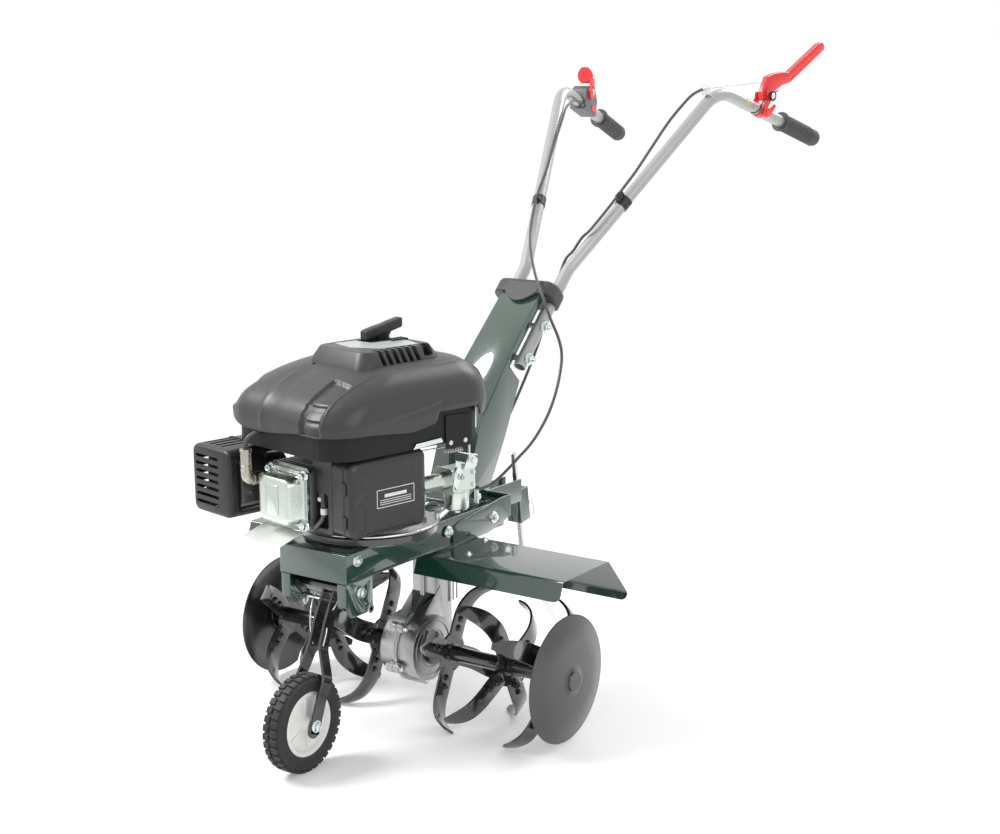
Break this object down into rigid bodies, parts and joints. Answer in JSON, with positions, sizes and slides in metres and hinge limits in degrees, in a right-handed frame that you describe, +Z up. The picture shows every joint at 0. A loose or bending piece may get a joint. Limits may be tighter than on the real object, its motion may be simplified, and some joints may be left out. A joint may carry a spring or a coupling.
{
  "type": "mini cultivator",
  "caption": "Petrol mini cultivator with tine rotors, side discs, front transport wheel, drag stake, fenders and twin handles with clutch and throttle levers",
  "frame": {"origin": "middle of the footprint, on the floor under the machine", "axes": "+Z up, -Y towards the transport wheel, +Y towards the handles, +X the operator's left"},
  "size_m": [0.636, 1.4012, 1.0806],
  "materials": {
    "green_enamel": "gloss",
    "black_enamel": "gloss",
    "dark_enamel": "satin",
    "charcoal_plastic": "matt",
    "black_plastic": "satin",
    "cast_aluminium": "cast",
    "zinc_steel": "zinc plated",
    "cast_iron": "as cast",
    "grey_powder_coat": "satin",
    "rubber": "matt",
    "tyre_rubber": "matt",
    "white_plastic": "satin",
    "grey_plastic": "matt",
    "red_plastic": "gloss",
    "bronze": "machined",
    "foam": "open foam",
    "tank_plastic": "satin"
  },
  "bodies": {
    "chassis": {"chassis_tray": "green_enamel", "handle_column": "green_enamel", "hitch_bracket": "green_enamel", "fender_left": "green_enamel", "fender_right": "green_enamel", "engine_cover": "charcoal_plastic", "blower_housing": "black_plastic", "muffler_guard": "black_plastic", "air_filter_case": "black_plastic", "spark_plug_boot": "black_plastic", "starter_rope": "black_plastic", "engine_base": "cast_aluminium", "valve_cover": "cast_aluminium", "heat_deflector": "cast_aluminium", "gearbox_left": "cast_aluminium", "gearbox_right": "cast_aluminium", "carburettor": "cast_aluminium", "tube_bolt_lower": "zinc_steel", "tube_bolt_upper": "zinc_steel", "lock_pin": "zinc_steel", "stake_pin": "zinc_steel", "muffler": "dark_enamel", "handle_tube_left": "grey_powder_coat", "handle_tube_right": "grey_powder_coat", "grip_left": "rubber", "grip_right": "rubber", "drive_belt": "rubber", "throttle_cable": "rubber", "clutch_cable": "rubber", "column_cap": "grey_plastic", "throttle_housing": "grey_plastic", "clutch_bracket": "red_plastic", "filter_element": "foam", "fuel_tank": "tank_plastic"},
    "tine_rotors": {"inner_rotor_left": "black_enamel", "inner_rotor_right": "black_enamel", "outer_rotor_left": "black_enamel", "outer_rotor_right": "black_enamel", "side_disc_left": "dark_enamel", "side_disc_right": "dark_enamel", "tine_axle": "zinc_steel", "worm_wheel": "bronze"},
    "worm_drive": {"worm_shaft": "zinc_steel", "driven_pulley": "cast_iron"},
    "crankshaft": {"crankshaft_pulley": "zinc_steel"},
    "belt_tensioner": {"tensioner_arm": "zinc_steel"},
    "idler": {"idler_pulley": "cast_iron"},
    "wheel_leg": {"wheel_fork": "black_enamel", "wheel_axle_bolt": "zinc_steel"},
    "wheel": {"wheel_rim": "white_plastic", "tyre": "tyre_rubber"},
    "stake": {"drag_stake": "zinc_steel"},
    "starter": {"starter_handle": "black_plastic"},
    "filler_cap": {"fuel_cap": "black_plastic"},
    "dipstick": {"oil_dipstick": "black_plastic"},
    "filter_lid": {"air_filter_cover": "black_plastic"},
    "throttle_valve": {"throttle_arm": "zinc_steel"},
    "clutch": {"clutch_lever": "red_plastic"},
    "latch": {"safety_latch": "red_plastic"},
    "throttle": {"throttle_lever": "red_plastic"}
  },
  "joints": [
    {"name": "tine_shaft_turn", "type": "hinge", "parent": "chassis", "child": "tine_rotors", "pos_m": [0, -0.31817, 0.1081], "axis": [1, 0, 0], "continuous": true},
    {"name": "worm_turn", "type": "hinge", "parent": "chassis", "child": "worm_drive", "pos_m": [0, -0.27317, 0.18], "axis": [0, 0, 1], "continuous": true},
    {"name": "crankshaft_turn", "type": "hinge", "parent": "chassis", "child": "crankshaft", "pos_m": [0, -0.43317, 0.3075], "axis": [0, 0, 1], "continuous": true},
    {"name": "tensioner_swing", "type": "hinge", "parent": "chassis", "child": "belt_tensioner", "pos_m": [-0.04, -0.33517, 0.3075], "axis": [0, 0, 1], "range_deg": [0, 16]},
    {"name": "idler_turn", "type": "hinge", "parent": "belt_tensioner", "child": "idler", "pos_m": [-0.053, -0.37017, 0.3075], "axis": [0, 0, 1], "continuous": true},
    {"name": "wheel_leg_swing", "type": "hinge", "parent": "chassis", "child": "wheel_leg", "pos_m": [0, -0.53517, 0.2655], "axis": [-1, 0, 0], "range_deg": [0, 70]},
    {"name": "wheel_turn", "type": "hinge", "parent": "wheel_leg", "child": "wheel", "pos_m": [0.0186, -0.62457, 0.076], "axis": [1, 0, 0], "continuous": true},
    {"name": "stake_slide", "type": "slide", "parent": "chassis", "child": "stake", "axis": [0, -0.1392, 0.9903], "range_m": [0, 0.06]},
    {"name": "starter_pull", "type": "slide", "parent": "chassis", "child": "starter", "axis": [0, 0, 1], "range_m": [0, 0.45], "stiffness_N_per_m": 20, "springref_m": -0.1, "deforming": ["starter_rope"]},
    {"name": "fuel_cap_turn", "type": "hinge", "parent": "chassis", "child": "filler_cap", "pos_m": [-0.06925, -0.32213, 0.5963], "axis": [0, 0, 1], "range_deg": [0, 90]},
    {"name": "dipstick_turn", "type": "hinge", "parent": "chassis", "child": "dipstick", "pos_m": [-0.07826, -0.37643, 0.4303], "axis": [0, 0, 1], "range_deg": [0, 180]},
    {"name": "filter_cover_open", "type": "hinge", "parent": "chassis", "child": "filter_lid", "pos_m": [0.04471, -0.57554, 0.418], "axis": [0, 0, -1], "range_deg": [0, 70]},
    {"name": "clutch_squeeze", "type": "hinge", "parent": "chassis", "child": "clutch", "pos_m": [0.19277, 0.51824, 0.98179], "axis": [-0.9852, 0.1713, 0], "range_deg": [0, 30], "stiffness_Nm_per_rad": 1.5, "springref_deg": -5.73},
    {"name": "latch_swing", "type": "hinge", "parent": "chassis", "child": "latch", "pos_m": [0.20727, 0.50239, 0.95452], "axis": [0.9852, -0.1713, 0], "range_deg": [0, 20], "stiffness_Nm_per_rad": 0.1, "springref_deg": -5.73},
    {"name": "throttle_turn", "type": "hinge", "parent": "chassis", "child": "throttle", "pos_m": [-0.16814, 0.48751, 0.98571], "axis": [0.9852, 0.1713, 0], "range_deg": [-30, 15]},
    {"name": "throttle_valve_turn", "type": "hinge", "parent": "chassis", "child": "throttle_valve", "pos_m": [0.10076, -0.32917, 0.43], "axis": [0, 0, 1], "range_deg": [-24, 12]}
  ],
  "couplings": [
    {"joint": "worm_turn", "follows": "tine_shaft_turn", "ratio": 20},
    {"joint": "tensioner_swing", "follows": "clutch_squeeze", "ratio": 0.5},
    {"joint": "throttle_valve_turn", "follows": "throttle_turn", "ratio": 0.8}
  ]
}
